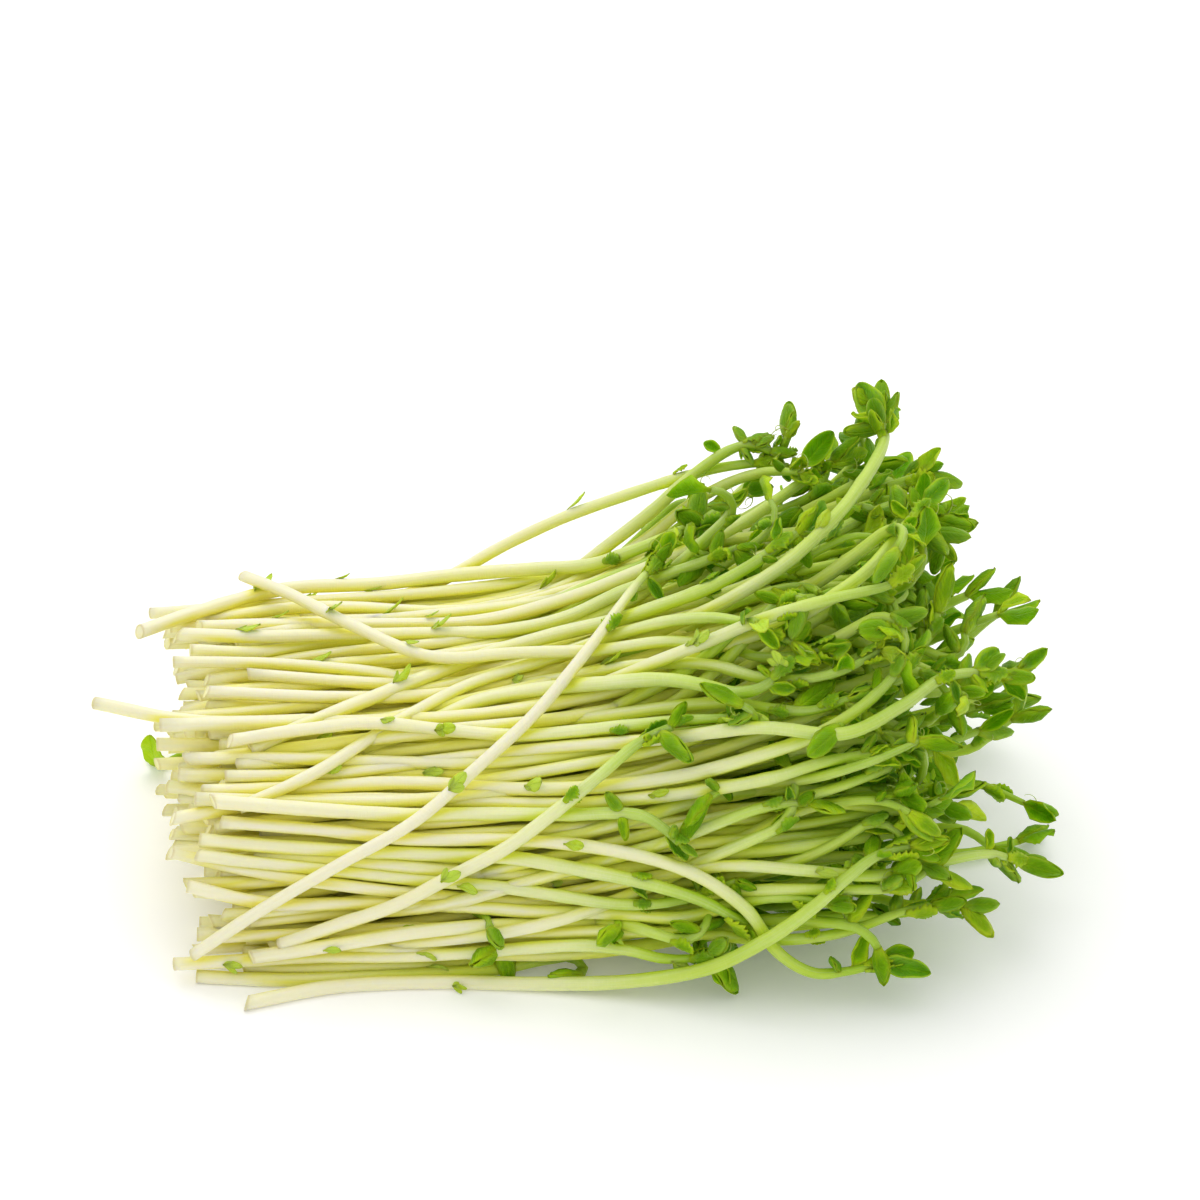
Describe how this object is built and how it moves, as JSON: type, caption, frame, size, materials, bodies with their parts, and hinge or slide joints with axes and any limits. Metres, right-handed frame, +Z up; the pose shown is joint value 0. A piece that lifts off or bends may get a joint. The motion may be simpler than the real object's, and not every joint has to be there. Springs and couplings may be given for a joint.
{
  "type": "bunch of cut pea shoots",
  "caption": "Loose bunch of cut pea shoots lying on its side: long pale stems with their cut ends to the left and small green leafy heads to the right.",
  "frame": {"origin": "on the surface that the bunch lies on, under the middle of its overall box", "axes": "+X along the stems, from the cut ends to the leafy heads; +Z up; -Y towards the side that the picture shows"},
  "size_m": [0.1802, 0.1148, 0.0848],
  "materials": {
    "outer_shoots": null,
    "inner_shoots": "the same plant tissue in the shade of the bunch"
  },
  "bodies": {
    "root": {"inner_bunch": "inner_shoots", "shoot_01": "outer_shoots", "shoot_02": "outer_shoots", "shoot_03": "outer_shoots", "shoot_04": "outer_shoots", "shoot_05": "outer_shoots", "shoot_06": "outer_shoots", "shoot_07": "outer_shoots", "shoot_08": "outer_shoots", "shoot_09": "outer_shoots", "shoot_10": "outer_shoots", "shoot_11": "outer_shoots", "shoot_12": "outer_shoots", "shoot_13": "outer_shoots", "shoot_14": "outer_shoots", "shoot_15": "outer_shoots", "shoot_16": "outer_shoots", "shoot_17": "outer_shoots", "shoot_18": "outer_shoots", "shoot_19": "outer_shoots", "shoot_20": "outer_shoots", "shoot_21": "outer_shoots", "shoot_22": "outer_shoots", "shoot_23": "outer_shoots", "shoot_24": "outer_shoots", "shoot_25": "outer_shoots", "shoot_26": "outer_shoots", "shoot_27": "outer_shoots", "shoot_28": "outer_shoots", "shoot_29": "outer_shoots", "shoot_30": "outer_shoots", "shoot_31": "outer_shoots", "shoot_32": "outer_shoots", "shoot_33": "outer_shoots", "shoot_34": "outer_shoots", "shoot_35": "outer_shoots", "shoot_36": "outer_shoots", "shoot_37": "outer_shoots", "shoot_38": "outer_shoots", "shoot_39": "outer_shoots", "shoot_40": "outer_shoots", "shoot_41": "outer_shoots", "shoot_42": "outer_shoots", "shoot_43": "outer_shoots", "shoot_44": "outer_shoots", "shoot_45": "outer_shoots"}
  },
  "joints": []
}
